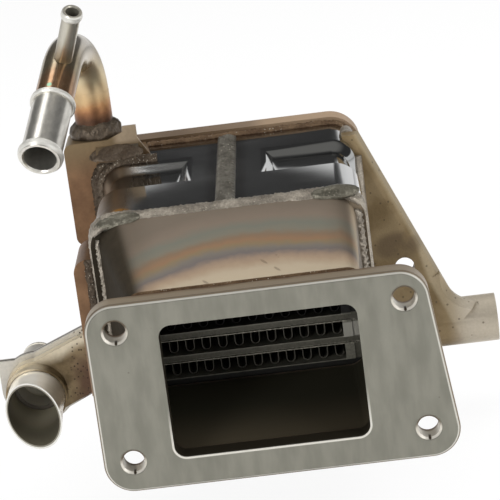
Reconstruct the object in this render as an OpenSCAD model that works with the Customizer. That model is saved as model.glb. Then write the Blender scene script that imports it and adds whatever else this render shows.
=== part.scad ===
// EGR cooler: an exhaust gas to coolant heat exchanger in welded steel.
// Millimetres. The origin is the centre of the gas port on the mating face of the inlet flange.
// The mating face looks along -Y, the body runs along +Y and +Z is up.

/* [Inlet flange] */
// Plate thickness
flange_t = 9.5; // [6:0.5:16]
// Port centre to the left edge
flange_left = 69.2; // [62:0.1:85]
// Port centre to the right edge at the top corner
flange_right_top = 69.2; // [66:0.1:85]
// Port centre to the right edge at the bottom corner
flange_right_bottom = 75.8; // [70:0.1:90]
// Port centre to the top edge
flange_top = 39.3; // [36:0.1:50]
// Port centre to the bottom edge
flange_bottom = 40.9; // [36:0.1:50]
// Corner radius of the plate
flange_corner_r = 12; // [8:0.5:16]
// Bevel round the front edge
flange_bevel = 1.4; // [0.4:0.1:3]
// Gas port width
port_w = 79.6; // [60:0.2:92]
// Gas port height
port_h = 56.6; // [40:0.2:60]
// Gas port corner radius
port_r = 5; // [2:0.5:12]
// Bolt hole diameter
bolt_d = 9; // [7:0.1:11]
// Countersink at the mouth of a bolt hole
bolt_bevel = 1.1; // [0.2:0.1:2]
// Port centre to the bolt holes on the left
bolt_left = 57; // [52:0.5:64]
// Port centre to the top right bolt hole
bolt_right_top = 59; // [52:0.5:64]
// Port centre to the bottom right bolt hole
bolt_right_bottom = 63; // [52:0.5:68]
// Port centre to either row of bolt holes
bolt_z = 27.8; // [24:0.1:34]

/* [Shell] */
// Width over the flat sides
shell_w = 115.4; // [100:0.2:140]
// Height over the flat top and bottom
shell_h = 80; // [70:0.2:100]
// Corner radius
shell_r = 11; // [6:0.5:20]
// Sheet thickness
shell_wall = 1.5; // [1:0.1:3]
// Length of the shell
shell_len = 120; // [110:1:160]
// Port centre to the shell centre, leftwards
shell_shift = 9.5; // [0:0.5:15]
// Port centre to the shell centre, upwards
shell_rise = 17; // [10:0.5:22]
// Mating face to the front of the shell
shell_front = 62; // [50:1:80]
// Shell front to the stamped channel
channel_front = 46; // [36:1:60]
// Width of the stamped channel over its slopes
channel_w = 40; // [24:1:44]
// Depth of the stamped channel
channel_d = 4.2; // [2:0.1:4.6]
// Run of each slope of the channel
channel_run = 8; // [3:0.5:12]
// Half the plain strip under the seam weld
seam_half = 15; // [8:0.5:24]
// Width of the seam weld
seam_w = 10; // [5:0.5:14]
// Height of the seam weld over the shell
seam_rise = 1.2; // [0.5:0.1:2]

/* [Core] */
// Number of gas tubes
tube_count = 7; // [3:1:7]
// Gap over and under the stack of gas tubes in the stamped channel
stack_gap = 0.2; // [0.2:0.1:2]
// Gap beside the gas tubes in the stamped channel
side_gap = 5.2; // [2:0.1:12]
// Outside height of a gas tube
tube_h = 7.6; // [5:0.1:8]
// Thickness of the flat walls of a gas tube
tube_wall = 0.5; // [0.3:0.1:0.8]
// Thickness of the folded sides of a gas tube
tube_side = 4; // [1:0.5:6]
// Length of gas tube that stands out of a header
tube_proud = 0.8; // [0.2:0.1:2]
// Distance between fin waves
fin_pitch = 7; // [5:0.1:10]
// Thickness of the fin sheet
fin_t = 0.4; // [0.3:0.1:0.8]
// Thickness of a header plate
header_t = 3; // [2:0.5:5]

/* [Inlet diffuser] */
// Sheet thickness
diffuser_wall = 2; // [1.5:0.1:3]
// Port centre to the left side at the flange
diffuser_left = 50.2; // [46:0.1:60]
// Port centre to the right side at the flange
diffuser_right = 42.4; // [42.4:0.1:60]
// Port centre to the roof at the flange
diffuser_top = 38.3; // [32:0.1:38.6]
// Port centre to the floor at the flange
diffuser_bottom = 34; // [30:0.5:38]
// Corner radius at the flange
diffuser_r = 5; // [3:0.5:10]
// Straight collar at the flange
diffuser_lip = 3.5; // [2:0.5:6]
// Length of the rim at the shell
diffuser_rim = 4.4; // [4:0.1:10]
// Step of the rim over the sides
rim_step = 3.4; // [2.8:0.1:5]
// Step of the rim under the floor
floor_step = 1.6; // [0.5:0.1:3]

/* [Outlet tank] */
// Step of the tank over the shell
tank_step = 3; // [2:0.1:5]
// Overlap of the tank on the shell
tank_lap = 4; // [2:0.5:8]
// Straight length of the tank
tank_straight = 11; // [8:0.5:20]
// Length of the taper to the neck
tank_taper = 32; // [24:1:60]
// Sheet thickness of the taper and neck
tank_wall = 2; // [1.5:0.1:3]
// Outside radius of the gas outlet neck
neck_r = 26; // [20:0.5:32]
// Length of the neck
neck_len = 12; // [8:1:30]
// Outside radius of the clamp ring
ring_r = 32; // [28:0.5:40]
// Thickness of the clamp ring at its bore
ring_t = 7; // [5:0.5:12]
// Thickness of the clamp ring at its rim
ring_rim = 3; // [2:0.5:6]

/* [Coolant outlet] */
// Thickness of the pressed sheet
pan_wall = 1.5; // [1:0.1:2.5]
// Shell side to the left face of the outlet pan
outlet_pan_reach = 15.8; // [8:0.1:26]
// Port centre to the bottom of the outlet pan
outlet_pan_bottom = 19.5; // [5:0.5:30]
// Port centre to the top of the outlet pan
outlet_pan_top = 67.5; // [62:0.5:74]
// Length of the outlet pan along the body
outlet_pan_len = 22.5; // [21:0.5:26]
// Gap from the outlet pan to the tank
outlet_pan_gap = 0.3; // [0.1:0.1:2]
// Corner radius of a pan
pan_r = 4; // [2:0.5:8]
// Width of the tab beside the tube collar
tab_w = 6.2; // [4:0.2:10]
// Port centre to the top of the tab
tab_top = 73; // [69:0.5:78]
// Height of the tab
tab_h = 8; // [6:0.5:9]
// Step of the tab over the plate beside it
tab_step = 2.5; // [0.5:0.1:4]
// Height of the coolant window in the shell behind the outlet pan
outlet_window_h = 20; // [10:1:24]
// Width of the foot welded to the shell
foot_w = 6.5; // [3:0.5:7]
// Splay of the foot's front corner
foot_splay = 4; // [0:0.5:10]
// Thickness of the foot
foot_t = 2; // [1:0.1:3]
// Outside radius of the outlet tube
goose_r = 8.6; // [6:0.1:12]
// Wall of the outlet tube
goose_wall = 1.5; // [1:0.1:2.5]
// Bend radius of the outlet tube
goose_bend_r = 24; // [18:0.5:40]
// Turn of the outlet tube
goose_turn = 119.6; // [90:0.1:150]
// Turn of the bend about the upright leg, from straight ahead to the left
goose_swing = 11.8; // [-45:0.1:45]
// Upright length over the pan
goose_leg = 20.3; // [8:0.1:40]
// Straight length after the bend
goose_run = 22.3; // [10:0.1:50]
// Thinning of the tube wall in the bend
bend_thin = 0.1; // [0.05:0.01:0.3]
// Shell side to the upright leg, leftwards
goose_reach = 1.1; // [-3:0.1:7]
// Height of the weld collar at the foot of the tube
collar_h = 7.5; // [4:0.5:12]
// Radius of the weld collar at the pan
collar_r = 10.4; // [9.5:0.1:13]
// Length of the turned hose end
hose_len = 34.5; // [24:0.5:50]
// Outside radius of the hose seat
hose_r = 8.8; // [7:0.1:12]
// Bore radius of the hose end
hose_bore_r = 7.1; // [5:0.1:9]
// Radius of the stop ring and of the end bead
bead_r = 10; // [9.2:0.1:14]
// Width of the stop ring
stop_w = 2.6; // [1:0.1:5]
// Width of the end bead
bead_w = 4.6; // [2:0.1:8]
// End of the bend to the vent nipple
nipple_set = 2.8; // [2.8:0.1:14]
// Length of the vent nipple from the tube's centre line
nipple_len = 35.5; // [25:0.5:50]
// Outside radius of the vent nipple
nipple_r = 4; // [3:0.1:6]
// Bore radius of the vent nipple
nipple_bore_r = 2.9; // [2:0.1:4]
// Radius of the nipple bead
nipple_bead_r = 4.8; // [4.2:0.1:7]
// Width of the nipple bead
nipple_bead_w = 4; // [2:0.1:6]

/* [Coolant inlet] */
// Shell side to the left face of the inlet pan
inlet_pan_reach = 9.8; // [4:0.1:18]
// Port centre to the top of the inlet pan
inlet_pan_top = 39; // [25:0.5:46]
// Port centre down to the bottom of the inlet pan
inlet_pan_bottom = 22; // [15:0.5:22.5]
// Shell front to the inlet pan
inlet_pan_front = 5.5; // [5:0.5:20]
// Length of the inlet pan along the body
inlet_pan_len = 30; // [26:0.5:36]
// Corner radius of the inlet pan
inlet_pan_r = 6; // [3:0.5:9]
// Inlet pan face to the front of the inlet arm
arm_set = 2.5; // [0.5:0.1:4]
// Depth of the front half of the inlet arm
arm_front_d = 7; // [5:0.5:12]
// Depth of the rear half of the inlet arm
arm_rear_d = 16; // [10:0.5:18]
// Step of the rear half inside the seam flange
arm_rear_set = 2.6; // [1:0.1:4]
// Radius of the round end of the inlet arm
arm_r = 13.6; // [12:0.1:18]
// Inlet pan to the middle of the round end, leftwards
arm_reach = 23.3; // [15:0.1:33]
// Port centre down to the middle of the round end
arm_drop = 17.8; // [5:0.1:25]
// Port centre to the top of the arm at the pan
arm_root_top = 5.5; // [2:0.1:20]
// Sheet thickness of the arm
arm_wall = 1.5; // [1:0.1:2.5]
// Width of the seam flange round the arm
arm_flange = 2.3; // [1.5:0.1:5]
// Middle of the round end to the top of the square corner of the seam flange
arm_corner = 13.4; // [4:0.1:15]
// Thickness of each seam flange
arm_flange_t = 1.6; // [1:0.1:3]
// Radius of the hump on the rear half
arm_hump_r = 7.5; // [4:0.1:9]
// Height of the hump over the rear half
arm_hump = 3.6; // [2:0.1:8]
// Outside radius of the inlet stub
stub_r = 12.2; // [9:0.1:13]
// Wall of the inlet stub
stub_wall = 1.2; // [0.8:0.1:2]
// Length of the inlet stub
stub_len = 24.5; // [20:0.5:40]
// Length of the stub inside the arm
stub_seat = 5; // [3:0.5:8]
// Downward lean of the stub
stub_lean = 8; // [0:0.5:20]
// Leftward lean of the stub
stub_swing = 3; // [0:0.5:20]
// Slope of the cut at the stub's mouth
stub_cut = 32; // [0:1:36]
// Turn of the cut about the stub, from the longest side below to the right
stub_cut_turn = 48; // [0:1:90]
// Length of the flare before the stub's mouth
stub_flare_len = 8; // [4:0.5:10]
// Flare of the stub's mouth
stub_flare = 0.6; // [0:0.1:1.2]
// Radius of the collar round the stub
stub_collar_r = 13.3; // [13:0.1:15]
// Height of the collar round the stub
stub_collar_h = 3; // [2:0.1:6]

/* [Bracket] */
// Front of the bracket to the rear of the shell
bracket_set = 31; // [28:0.5:33]
// Thickness of the web
web_t = 7; // [5:0.5:9]
// Rounding of the web's sloped edge
web_edge = 4; // [2:0.5:6]
// Shell side to the top of the sloped edge
web_top_reach = 2.2; // [0.2:0.1:8]
// Port centre to the top of the web
web_top = 57; // [45:0.5:57]
// Shell bottom to the lowest point of the web on the shell
web_low = 12; // [11:0.5:30]
// Shell side to the foot of the sloped edge
web_foot_reach = 33.2; // [25:0.1:41]
// Port centre down to the foot of the sloped edge
web_foot_z = 16.6; // [5:0.1:25]
// Shell side to the end of the boss
boss_end_reach = 56.1; // [48:0.1:71]
// Port centre down to the axis of the boss
boss_drop = 40.3; // [30:0.1:50]
// Radius of the boss
boss_r = 11; // [9:0.1:14]
// Shell side to the inner end of the boss
boss_start_reach = 19.8; // [7:0.1:27]
// Diameter of the hole in the boss
boss_bore_d = 8.5; // [6:0.1:12]
// Depth of the hole in the boss
boss_bore_len = 26; // [10:0.5:33]
// Height of the boss over the front of the web
boss_proud = 0.6; // [0.2:0.1:3]
// Radius of the fillet from the slope to the boss
web_fillet = 13; // [8:0.5:20]
// Diameter of the hole in the web
web_hole_d = 9; // [7:0.1:11]
// Shell side to the hole in the web
web_hole_reach = 16.2; // [12:0.1:22]
// Port centre down to the hole in the web
web_hole_drop = 7.8; // [0:0.1:20]

/* [Welds] */
// Half the width of the weld between diffuser and shell
front_weld_half = 4.4; // [2:0.1:5]
// Height of the weld between diffuser and shell
front_weld_rise = 3.4; // [1.5:0.1:4.5]
// Radius of the weld between shell and tank
rear_weld_r = 1.8; // [1:0.1:3]
// Radius of the weld between flange and diffuser
flange_weld_r = 2.2; // [1:0.1:3]
// Leg of the weld up the left side of the diffuser
side_weld_left_r = 1.5; // [0.8:0.1:2.4]
// Leg of the weld up the right side of the diffuser
side_weld_right_r = 2.4; // [0.8:0.1:2.4]
// Radius of the weld between bracket and shell
bracket_weld_r = 2.4; // [1:0.1:3]
// Radius of the weld lump behind the bracket
bracket_lump_r = 4; // [2:0.1:5]
// Length of the weld lump behind the bracket
bracket_lump_len = 14; // [4:0.5:14]

/* [Hidden] */
$fn = 64;

eps = 0.01;
slip = 0.15;
bend_lap = 0.5;
inlet_edge = 5;
outlet_edge = 3;
flange_corners = [[flange_corner_r - flange_left, flange_corner_r - flange_bottom],
    [flange_right_bottom - flange_corner_r, flange_corner_r - flange_bottom],
    [flange_right_top - flange_corner_r, flange_top - flange_corner_r],
    [flange_corner_r - flange_left, flange_top - flange_corner_r]];
cx = -shell_shift;
cz = shell_rise;
shell_left = cx - shell_w / 2;
shell_right = cx + shell_w / 2;
shell_top = cz + shell_h / 2;
shell_bottom = cz - shell_h / 2;
shell_rear = shell_front + shell_len;
channel_y0 = shell_front + channel_front;
channel_y1 = channel_y0 + channel_w;
slope_steps = 3;
slope_run = channel_run / slope_steps;
tank_front = shell_rear - tank_lap;
tank_bend = tank_front + tank_straight;
neck_front = tank_bend + tank_taper;
neck_end = neck_front + neck_len;
header_in = shell_front + tube_proud;
header_out = shell_rear - tube_proud - header_t;
tube_front = shell_front;
tube_rear = shell_rear;
tube_w = shell_w - 2 * (shell_wall + channel_d + side_gap);
tube_pitch = (shell_h - 2 * (shell_wall + channel_d + stack_gap) - tube_h) / (tube_count - 1);
fin_w = tube_w - 2 * tube_side;
fin_h = tube_h - 2 * tube_wall;
fin_waves = floor(fin_w / fin_pitch);

outlet_left = shell_left - outlet_pan_reach;
goose_x = goose_reach - shell_left;
outlet_y1 = tank_front - outlet_pan_gap;
outlet_y0 = outlet_y1 - outlet_pan_len;
goose_y = outlet_y0 + pan_wall + 2 * slip + collar_r;
tab_left = goose_x - collar_r - 2.7;
pan_right = -shell_left - 12;
foot_right = shell_left + shell_r + 9;
outlet_window_z = outlet_pan_bottom + 5;
goose_foot = [-goose_x, goose_y, outlet_pan_top];
goose_dir = [-sin(goose_swing) * sin(goose_turn), -cos(goose_swing) * sin(goose_turn), cos(goose_turn)];
goose_flat = [-sin(goose_swing), -cos(goose_swing), 0];
goose_top = goose_foot + [0, 0, goose_leg];
goose_bend_end = goose_top + goose_bend_r * (1 - cos(goose_turn)) * goose_flat
    + [0, 0, goose_bend_r * sin(goose_turn)];
goose_end = goose_bend_end + goose_run * goose_dir;
nipple_base = goose_bend_end + nipple_set * goose_dir;
nipple_dir = [0.3, -0.48, 0.82] / norm([0.3, -0.48, 0.82]);

inlet_left = shell_left - inlet_pan_reach;
arm_x = arm_reach - inlet_left;
inlet_y0 = shell_front + inlet_pan_front;
inlet_y1 = inlet_y0 + inlet_pan_len;
inlet_window_z = cz - shell_h / 2 + shell_r + 4;
arm_seam = inlet_y0 + arm_set + arm_front_d;
arm_root_bottom = inlet_pan_bottom - pan_wall;
arm_window_z = arm_wall + arm_rear_set - arm_root_bottom;
arm_window_h = arm_root_top + arm_root_bottom - 2 * arm_wall - 2 * arm_rear_set;
arm_hump_z = arm_r - arm_drop - arm_rear_set - arm_hump_r + arm_hump;
stub_dir = [-sin(stub_swing), -cos(stub_swing) * cos(stub_lean), -sin(stub_lean)];
stub_foot = [-arm_x, arm_seam - arm_front_d + stub_seat, -arm_drop];

web_y0 = shell_rear - bracket_set;
web_y1 = web_y0 + web_t;
boss_y = web_y0 + boss_r - boss_proud;
boss_top = boss_r - boss_drop;
web_top_x = shell_right + web_top_reach;
web_foot_x = shell_right + web_foot_reach;
web_hole_x = shell_right + web_hole_reach;
boss_start = shell_right + boss_start_reach;
boss_end = shell_right + boss_end_reach;
slope = [web_foot_x - web_top_x, -web_foot_z - web_top];
slope_len = norm(slope);
slope_angle = atan2(slope.y, slope.x);
slope_out = [-slope.y, slope.x] / slope_len;
fillet_z = boss_top + web_fillet;
fillet_reach = [web_foot_x, -web_foot_z] * slope_out + web_fillet;
fillet_mid = [(fillet_reach - slope_out.y * fillet_z) / slope_out.x, fillet_z];

// A prism between two stations along the body, drawn in the front view
module along_y(y0, y1) {
    translate([0, y1, 0])
        rotate([90, 0, 0])
            linear_extrude(y1 - y0)
                children();
}

// Children built along +Z, set at a point to run along a direction
module aimed(p, d) {
    translate(p)
        rotate([0, acos(d.z / norm(d)), atan2(d.y, d.x)])
            children();
}

// A rectangle with round corners about its middle
module round_rect(w, h, r) {
    square([w - 2 * r, h], center = true);
    square([w, h - 2 * r], center = true);
    for (sx = [-1, 1])
        for (sy = [-1, 1])
            translate([sx * (w / 2 - r), sy * (h / 2 - r)])
                circle(r);
}

// The shell's outline grown or shrunk by a margin
module shell_outline(grow) {
    translate([cx, cz])
        round_rect(shell_w + 2 * grow, shell_h + 2 * grow, shell_r + grow);
}

// A layer whose round outline about the corner points goes from one radius to another
module sloped_layer(pts, r0, r1, t) {
    linear_extrude(t)
        polygon(pts);
    for (i = [0 : len(pts) - 1]) {
        p = pts[i];
        q = pts[(i + 1) % len(pts)];
        e = q - p;
        translate([p.x, p.y, 0])
            cylinder(h = t, r1 = r0, r2 = r1);
        translate([p.x, p.y, 0])
            rotate([90, 0, atan2(e.y, e.x) + 90])
                linear_extrude(norm(e))
                    polygon([[0, 0], [-r0, 0], [-r1, t], [0, t]]);
    }
}

// A low bead round the shell's outline, half as wide on either side of one station
module weld_ring(y, half, rise) {
    w = shell_w / 2 - shell_r;
    h = shell_h / 2 - shell_r;
    pts = [[cx - w, cz - h], [cx + w, cz - h], [cx + w, cz + h], [cx - w, cz + h]];
    steps = [0.1, 0.75, 1, 0.75, 0.1];
    difference() {
        for (i = [0 : 3])
            translate([0, y - half + (i + 1) * half / 2, 0])
                rotate([90, 0, 0])
                    sloped_layer(pts, shell_r + rise * steps[i + 1], shell_r + rise * steps[i], half / 2);
        along_y(y - 2 * half, y + 2 * half)
            shell_outline(0);
    }
}

// Share of the channel's depth at a share of its slope
function sweep(t) = t * t * (3 - 2 * t);

// The shell's solid form with its stamped channel, set in by a margin
module shell_form(set) {
    w = shell_w / 2 - shell_r;
    h = shell_h / 2 - shell_r;
    r = shell_r - set;
    pts = [[cx - w, cz - h], [cx + w, cz - h], [cx + w, cz + h], [cx - w, cz + h]];
    roof = shell_top - set;
    along_y(shell_front - (set > 0 ? eps : 0), channel_y0)
        shell_outline(-set);
    along_y(channel_y0, channel_y1)
        shell_outline(-set - channel_d);
    along_y(channel_y1, shell_rear + (set > 0 ? eps : 0))
        shell_outline(-set);
    for (i = [1 : slope_steps]) {
        r0 = r - channel_d * sweep((i - 1) / slope_steps);
        r1 = r - channel_d * sweep(i / slope_steps);
        translate([0, channel_y0 + i * slope_run, 0])
            rotate([90, 0, 0])
                sloped_layer(pts, r1, r0, slope_run);
        translate([0, channel_y1 - (i - 1) * slope_run, 0])
            rotate([90, 0, 0])
                sloped_layer(pts, r0, r1, slope_run);
    }
    along_y(channel_y0, channel_y1)
        polygon(concat(
            [for (i = [slope_steps : -1 : 0])
                [cx - seam_half - i * slope_run, roof - channel_d * sweep(i / slope_steps)]],
            [for (i = [0 : slope_steps])
                [cx + seam_half + i * slope_run, roof - channel_d * sweep(i / slope_steps)]]));
}

// The diffuser's outline before its rim, set in by a margin
module diffuser_rear(set) {
    translate([cx, cz + floor_step / 2])
        round_rect(shell_w - 2 * rim_step - 2 * set, shell_h - floor_step - 2 * set, shell_r - set);
}

// The diffuser's solid form, set in by a margin
module diffuser_form(set) {
    w = diffuser_left + diffuser_right - 2 * set;
    h = diffuser_top + diffuser_bottom - 2 * set;
    mid = [(diffuser_right - diffuser_left) / 2, (diffuser_top - diffuser_bottom) / 2];
    y1 = flange_t + diffuser_lip;
    y2 = shell_front - diffuser_rim;
    over = set > 0 ? 1 : 0;
    along_y(flange_t - over, y1)
        translate(mid)
            round_rect(w, h, diffuser_r - set);
    hull() {
        along_y(y1 - 1, y1)
            translate(mid)
                round_rect(w - 2 * eps, h - 2 * eps, diffuser_r - set - eps, $fn = 32);
        along_y(y2, y2 + 1)
            diffuser_rear(set + eps, $fn = 32);
    }
    along_y(y2, shell_front + over)
        if (set > 0)
            diffuser_rear(set);
        else
            shell_outline(0);
}

module inlet_flange() {
    tip_r = flange_corner_r - flange_bevel;
    color([0.55, 0.55, 0.52])
        difference() {
            hull()
                for (p = flange_corners)
                    translate([p.x, 0, p.y])
                        rotate([-90, 0, 0]) {
                            cylinder(h = flange_bevel, r1 = tip_r, r2 = flange_corner_r);
                            translate([0, 0, flange_bevel])
                                cylinder(h = flange_t - flange_bevel, r = flange_corner_r);
                        }
            along_y(-1, flange_t + 1)
                round_rect(port_w, port_h, port_r);
            for (p = [[-bolt_left, bolt_z], [bolt_right_top, bolt_z], [-bolt_left, -bolt_z],
                    [bolt_right_bottom, -bolt_z]]) {
                along_y(-1, flange_t + 1)
                    translate(p)
                        circle(d = bolt_d);
                translate([p.x, -eps, p.y])
                    rotate([-90, 0, 0])
                        cylinder(h = bolt_bevel, r1 = bolt_d / 2 + bolt_bevel, r2 = bolt_d / 2);
            }
        }
}

module inlet_diffuser() {
    color([0.5, 0.46, 0.4])
        difference() {
            diffuser_form(0);
            diffuser_form(diffuser_wall);
        }
}

// A fillet bead up one side of the diffuser, in the corner before its rim
module side_bead(rear, mouth, side, r) {
    wall = (mouth - rear) / norm(mouth - rear);
    foot = rear + [side * slip, -slip];
    out = [side, 0] + wall;
    translate([0, 0, shell_bottom + shell_r + 1])
        linear_extrude(shell_h - 2 * shell_r - 2)
            polygon([foot, foot + [side * r, 0], foot + r * (0.6 * out + [side * 0.2, 0]),
                foot + r * (0.6 * out + 0.2 * wall), foot + r * wall]);
}

module side_welds() {
    y1 = flange_t + diffuser_lip;
    y2 = shell_front - diffuser_rim;
    color([0.4, 0.37, 0.32]) {
        side_bead([shell_left + rim_step, y2], [-diffuser_left, y1], -1, side_weld_left_r);
        side_bead([shell_right - rim_step, y2], [diffuser_right, y1], 1, side_weld_right_r);
    }
}

module flange_weld() {
    w = diffuser_left + diffuser_right;
    h = diffuser_top + diffuser_bottom;
    mid = [(diffuser_right - diffuser_left) / 2, (diffuser_top - diffuser_bottom) / 2];
    pts = [[diffuser_r - w / 2, diffuser_r - h / 2], [w / 2 - diffuser_r, diffuser_r - h / 2],
        [w / 2 - diffuser_r, h / 2 - diffuser_r], [diffuser_r - w / 2, h / 2 - diffuser_r]];
    color([0.4, 0.36, 0.3])
        difference() {
            translate([mid.x, flange_t + flange_weld_r, mid.y])
                rotate([90, 0, 0])
                    sloped_layer(pts, diffuser_r, diffuser_r + flange_weld_r, flange_weld_r);
            along_y(flange_t - 1, flange_t + diffuser_lip)
                translate(mid)
                    round_rect(w, h, diffuser_r);
        }
}

module front_weld() {
    color([0.38, 0.36, 0.32])
        weld_ring(shell_front, front_weld_half, front_weld_rise);
}

// A header plate with a slot for each gas tube
module header(y0) {
    along_y(y0, y0 + header_t)
        difference() {
            shell_outline(-shell_wall);
            for (i = [1 : tube_count])
                translate([cx, tube_z(i)])
                    square([tube_w, tube_h], center = true);
        }
}

// Height of a gas tube's middle, counted from the bottom
function tube_z(i) = cz + (i - (tube_count + 1) / 2) * tube_pitch;

module front_header() {
    color([0.45, 0.44, 0.4])
        header(header_in);
}

module rear_header() {
    color([0.45, 0.44, 0.4])
        header(header_out);
}

module shell() {
    inlet_window_h = inlet_pan_top - inlet_window_z - inlet_edge;
    color([0.6, 0.6, 0.6])
        difference() {
            shell_form(0);
            shell_form(shell_wall);
            translate([shell_left - 1, inlet_y0 + inlet_edge, inlet_window_z])
                cube([shell_wall + 2, inlet_pan_len - 2 * inlet_edge, inlet_window_h]);
            translate([shell_left - 1, outlet_y0 + outlet_edge, outlet_window_z])
                cube([shell_wall + 2, outlet_pan_len - 2 * outlet_edge, outlet_window_h]);
        }
}

module seam_weld() {
    sag = seam_w * seam_w / 8 / seam_rise - seam_rise / 2;
    y0 = shell_front + front_weld_half;
    y1 = tank_front - rear_weld_r;
    color([0.4, 0.4, 0.38])
        along_y(y0, y1)
            intersection() {
                translate([cx, shell_top - sag])
                    circle(sag + seam_rise);
                translate([cx - seam_w / 2, shell_top])
                    square([seam_w, 2 * seam_rise]);
            }
}

module gas_tube(i) {
    color([0.45, 0.44, 0.4])
        along_y(tube_front, tube_rear)
            translate([cx, tube_z(i)])
                difference() {
                    square([tube_w, tube_h], center = true);
                    square([fin_w, fin_h], center = true);
                }
}

module gas_tube_1() {
    gas_tube(1);
}

module gas_tube_2() {
    gas_tube(2);
}

module gas_tube_3() {
    gas_tube(3);
}

module gas_tube_4() {
    gas_tube(4);
}

module gas_tube_5() {
    gas_tube(5);
}

module gas_tube_6() {
    gas_tube(6);
}

module gas_tube_7() {
    gas_tube(7);
}

// One side of the fin wave: straight legs joined by half rounds, above and below
function fin_side(grow) = let (q = fin_pitch / 4, flat = fin_h / 2 - q - fin_t / 2, turns = 2 * fin_waves)
    [for (k = [0 : turns - 1], a = [0 : 30 : 180])
        let (up = k % 2 == 0 ? 1 : -1, r = q + up * grow)
            [(k + 0.5) * 2 * q - fin_waves * 2 * q - r * cos(a), up * (flat + r * sin(a))]];

function reversed(v) = [for (i = [len(v) - 1 : -1 : 0]) v[i]];

module gas_fin(i) {
    color([0.35, 0.34, 0.32])
        along_y(header_in + header_t, header_out)
            translate([cx, tube_z(i)])
                polygon(concat(fin_side(fin_t / 2), reversed(fin_side(-fin_t / 2))));
}

module gas_fin_1() {
    gas_fin(1);
}

module gas_fin_2() {
    gas_fin(2);
}

module gas_fin_3() {
    gas_fin(3);
}

module gas_fin_4() {
    gas_fin(4);
}

module gas_fin_5() {
    gas_fin(5);
}

module gas_fin_6() {
    gas_fin(6);
}

module gas_fin_7() {
    gas_fin(7);
}

// The taper from the shell's outline to the round neck, with a margin on either end
module tank_taper_form(grow, r, over) {
    hull() {
        along_y(tank_bend - over, tank_bend - over + eps)
            shell_outline(grow, $fn = 32);
        translate([cx, neck_front, cz])
            rotate([-90, 0, 0])
                cylinder(h = eps + over, r = r, $fn = 64);
    }
}

module outlet_tank() {
    color([0.55, 0.5, 0.44])
        difference() {
            union() {
                along_y(tank_front, tank_bend)
                    shell_outline(tank_step);
                tank_taper_form(tank_step, neck_r, 0);
                translate([cx, neck_front, cz])
                    rotate([-90, 0, 0])
                        cylinder(h = neck_len, r = neck_r);
            }
            along_y(tank_front - 1, shell_rear + slip)
                shell_outline(slip);
            along_y(shell_rear, tank_bend + eps)
                shell_outline(-shell_wall);
            tank_taper_form(-shell_wall, neck_r - tank_wall, eps);
            translate([cx, neck_front - eps, cz])
                rotate([-90, 0, 0])
                    cylinder(h = neck_len + 1, r = neck_r - tank_wall);
        }
}

module rear_weld() {
    w = shell_w / 2 - shell_r;
    h = shell_h / 2 - shell_r;
    pts = [[cx - w, cz - h], [cx + w, cz - h], [cx + w, cz + h], [cx - w, cz + h]];
    color([0.42, 0.34, 0.26])
        difference() {
            translate([0, tank_front, 0])
                rotate([90, 0, 0])
                    sloped_layer(pts, shell_r + rear_weld_r, shell_r + 0.1, rear_weld_r);
            along_y(tank_front - 2 * rear_weld_r, tank_front + 1)
                shell_outline(0);
            translate([outlet_left, tank_front - 10, outlet_pan_bottom - 2])
                cube([foot_right - outlet_left + 1, 20, shell_h]);
        }
}

module outlet_ring() {
    step = ring_t - ring_rim;
    color([0.6, 0.6, 0.58])
        translate([cx, neck_end - ring_t, cz])
            rotate([-90, 0, 0])
                rotate_extrude()
                    polygon([[neck_r + slip, 0], [ring_r - 1, step], [ring_r, step + 1], [ring_r, ring_t],
                        [neck_r + slip, ring_t]]);
}

// The outlet pan's outline in the front view: a side box with an arch over the shell corner
module outlet_pan_outline(set) {
    left = outlet_left + set;
    bottom = outlet_pan_bottom + set;
    top = outlet_pan_top - set;
    r = pan_r - set;
    translate([left + r, bottom])
        square([-left - r - pan_right, top - bottom]);
    translate([left, bottom + r])
        square([r + eps, top - bottom - 2 * r]);
    for (z = [bottom + r, top - r])
        translate([left + r, z])
            circle(r);
}

// The front plate of the outlet pan, which rises past the collar to a tab
module outlet_plate_outline() {
    tab_right = tab_w - tab_left;
    outlet_pan_outline(0);
    polygon([[goose_r - goose_x - 3, outlet_pan_top - eps], [-tab_left, tab_top - tab_step],
        [-tab_left, tab_top], [tab_right, tab_top], [tab_right, tab_top - 0.75 * tab_h],
        [foot_right + foot_splay, shell_top], [-goose_x, shell_top]]);
}

module outlet_pan() {
    foot_y0 = outlet_y0 - foot_w;
    foot_top = shell_top + foot_t - eps;
    color([0.45, 0.33, 0.22])
        difference() {
            union() {
                along_y(outlet_y0 + eps, outlet_y1)
                    outlet_pan_outline(0);
                along_y(outlet_y0, outlet_y0 + pan_wall)
                    outlet_plate_outline();
                intersection() {
                    along_y(foot_y0, outlet_y1)
                        shell_outline(foot_t);
                    translate([0, 0, outlet_pan_bottom])
                        linear_extrude(shell_h)
                            polygon([[outlet_left, foot_y0], [foot_right + foot_splay, foot_y0],
                                [foot_right, outlet_y1], [outlet_left, outlet_y1]]);
                }
                translate([-goose_x, 0, 0])
                    rotate([90, 0, 90])
                        linear_extrude(goose_x - tab_left + tab_w)
                            polygon([[foot_y0, foot_top], [outlet_y0 + eps, foot_top],
                                [outlet_y0 + eps, tab_top - tab_h]]);
            }
            along_y(outlet_y0 - 2 * foot_w, outlet_y1 + 1)
                shell_outline(0);
            along_y(outlet_y0 + pan_wall, outlet_y1 - pan_wall)
                difference() {
                    outlet_pan_outline(pan_wall);
                    shell_outline(foot_t);
                }
            along_y(outlet_y0 + outlet_edge, outlet_y1 - outlet_edge)
                translate([shell_left - foot_t - 1, outlet_window_z])
                    square([foot_t + 2, outlet_window_h]);
            translate(goose_foot - [0, 0, pan_wall + 1])
                cylinder(h = pan_wall + 2, r = goose_r + slip);
        }
}

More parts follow.
